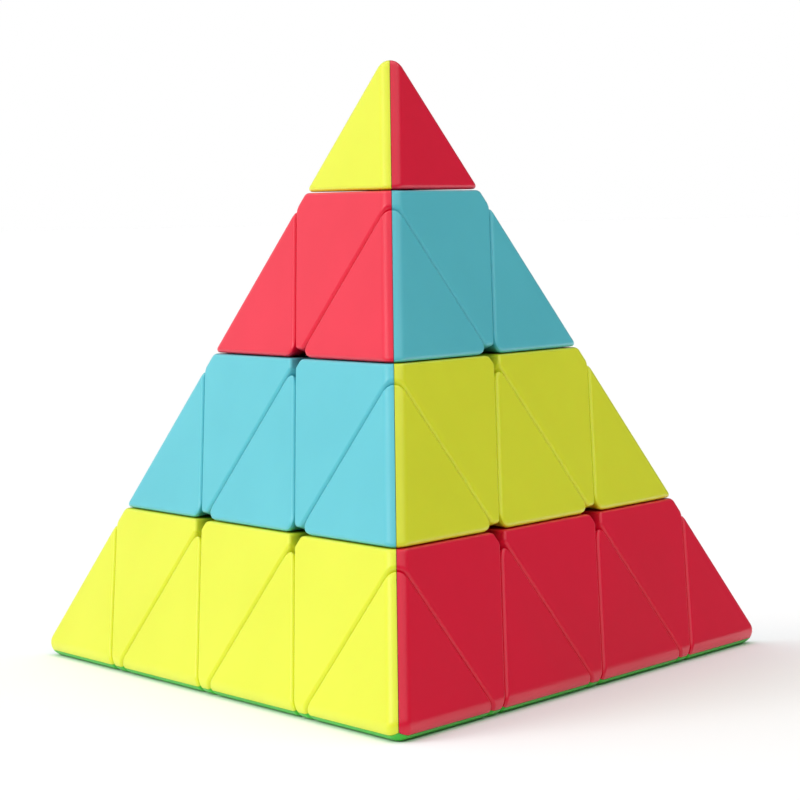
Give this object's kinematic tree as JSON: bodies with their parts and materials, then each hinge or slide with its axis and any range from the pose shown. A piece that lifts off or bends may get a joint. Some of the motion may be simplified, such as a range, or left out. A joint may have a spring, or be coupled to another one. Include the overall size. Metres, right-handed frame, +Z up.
{
  "type": "pyramid twisty puzzle",
  "caption": "Pyramid-shaped twisty puzzle of coloured plastic pieces; corner tips, corner layers and a three-layer block turn about axes through a sprung core.",
  "frame": {"origin": "middle of the base face, where the upright turning axis meets the table", "axes": "+Z up through the top corner; -Y towards the front corner; +X towards the right corner"},
  "size_m": [0.093, 0.0811, 0.0766],
  "materials": {
    "yellow": "satin moulded ABS, fluorescent lemon yellow",
    "red": "satin moulded ABS, warm coral red",
    "blue": "satin moulded ABS, sky blue",
    "green": "satin moulded ABS, bright green",
    "inner_plastic": "matt black moulded nylon",
    "steel": "plain zinc-plated steel"
  },
  "bodies": {
    "root": {"core": "inner_plastic", "arm_screws": "steel", "arm_washers": "steel", "arm_springs": "steel", "lower_hubs": "inner_plastic", "base_edge_left_shell": "yellow", "base_edge_right_shell": "red", "base_edge_back_shell": "blue", "base_edges_base_shells": "green", "base_centre_shell": "green"},
    "three_layers": {"upper_hub": "inner_plastic", "middle_edges_left_shells": "blue", "middle_edges_right_shells": "yellow", "middle_edges_back_shells": "red", "left_centre_shell": "blue", "right_centre_shell": "yellow", "back_centre_shell": "red"},
    "top_corner": {"top_axial_left_shell": "red", "top_axial_right_shell": "blue", "top_axial_back_shell": "yellow", "top_wings_left_shells": "red", "top_wings_right_shells": "blue", "top_wings_back_shells": "yellow"},
    "top_tip": {"top_tip_left_shell": "yellow", "top_tip_right_shell": "red", "top_tip_back_shell": "blue", "top_tip_pivot": "inner_plastic"},
    "front_corner": {"front_axial_left_shell": "yellow", "front_axial_right_shell": "red", "front_wing_left_shell": "yellow", "front_wing_right_shell": "red", "front_corner_base_shells": "green"},
    "front_tip": {"front_tip_left_shell": "yellow", "front_tip_right_shell": "red", "front_tip_base_shell": "green", "front_tip_pivot": "inner_plastic"},
    "front_upper_wing": {"front_upper_wing_left_shell": "blue", "front_upper_wing_right_shell": "yellow"},
    "right_corner": {"right_axial_right_shell": "red", "right_axial_back_shell": "blue", "right_wing_right_shell": "red", "right_wing_back_shell": "blue", "right_corner_base_shells": "green"},
    "right_tip": {"right_tip_right_shell": "red", "right_tip_back_shell": "blue", "right_tip_base_shell": "green", "right_tip_pivot": "inner_plastic"},
    "right_upper_wing": {"right_upper_wing_right_shell": "yellow", "right_upper_wing_back_shell": "red"},
    "left_corner": {"left_axial_left_shell": "yellow", "left_axial_back_shell": "blue", "left_wing_left_shell": "yellow", "left_wing_back_shell": "blue", "left_corner_base_shells": "green"},
    "left_tip": {"left_tip_left_shell": "yellow", "left_tip_back_shell": "blue", "left_tip_base_shell": "green", "left_tip_pivot": "inner_plastic"},
    "left_upper_wing": {"left_upper_wing_left_shell": "blue", "left_upper_wing_back_shell": "red"}
  },
  "joints": [
    {"name": "three_layers_turn", "type": "hinge", "parent": "root", "child": "three_layers", "pos_m": [0, 0, 0.02], "axis": [0, 0, 1], "range_deg": [-120, 120]},
    {"name": "top_corner_turn", "type": "hinge", "parent": "three_layers", "child": "top_corner", "pos_m": [0, 0, 0.02], "axis": [0, 0, 1], "continuous": true},
    {"name": "top_tip_turn", "type": "hinge", "parent": "top_corner", "child": "top_tip", "pos_m": [0, 0, 0.02], "axis": [0, 0, 1], "continuous": true},
    {"name": "front_corner_turn", "type": "hinge", "parent": "root", "child": "front_corner", "pos_m": [0, 0, 0.02], "axis": [0, -0.9428, -0.3333], "range_deg": [-120, 120]},
    {"name": "front_tip_turn", "type": "hinge", "parent": "front_corner", "child": "front_tip", "pos_m": [0, 0, 0.02], "axis": [0, -0.9428, -0.3333], "continuous": true},
    {"name": "front_upper_wing_turn", "type": "hinge", "parent": "three_layers", "child": "front_upper_wing", "pos_m": [0, 0, 0.02], "axis": [0, -0.9428, -0.3333], "range_deg": [-120, 120]},
    {"name": "right_corner_turn", "type": "hinge", "parent": "root", "child": "right_corner", "pos_m": [0, 0, 0.02], "axis": [0.8165, 0.4714, -0.3333], "range_deg": [-120, 120]},
    {"name": "right_tip_turn", "type": "hinge", "parent": "right_corner", "child": "right_tip", "pos_m": [0, 0, 0.02], "axis": [0.8165, 0.4714, -0.3333], "continuous": true},
    {"name": "right_upper_wing_turn", "type": "hinge", "parent": "three_layers", "child": "right_upper_wing", "pos_m": [0, 0, 0.02], "axis": [0.8165, 0.4714, -0.3333], "range_deg": [-120, 120]},
    {"name": "left_corner_turn", "type": "hinge", "parent": "root", "child": "left_corner", "pos_m": [0, 0, 0.02], "axis": [-0.8165, 0.4714, -0.3333], "range_deg": [-120, 120]},
    {"name": "left_tip_turn", "type": "hinge", "parent": "left_corner", "child": "left_tip", "pos_m": [0, 0, 0.02], "axis": [-0.8165, 0.4714, -0.3333], "continuous": true},
    {"name": "left_upper_wing_turn", "type": "hinge", "parent": "three_layers", "child": "left_upper_wing", "pos_m": [0, 0, 0.02], "axis": [-0.8165, 0.4714, -0.3333], "range_deg": [-120, 120]}
  ],
  "couplings": [
    {"joint": "front_upper_wing_turn", "follows": "front_corner_turn", "ratio": 1},
    {"joint": "right_upper_wing_turn", "follows": "right_corner_turn", "ratio": 1},
    {"joint": "left_upper_wing_turn", "follows": "left_corner_turn", "ratio": 1}
  ]
}
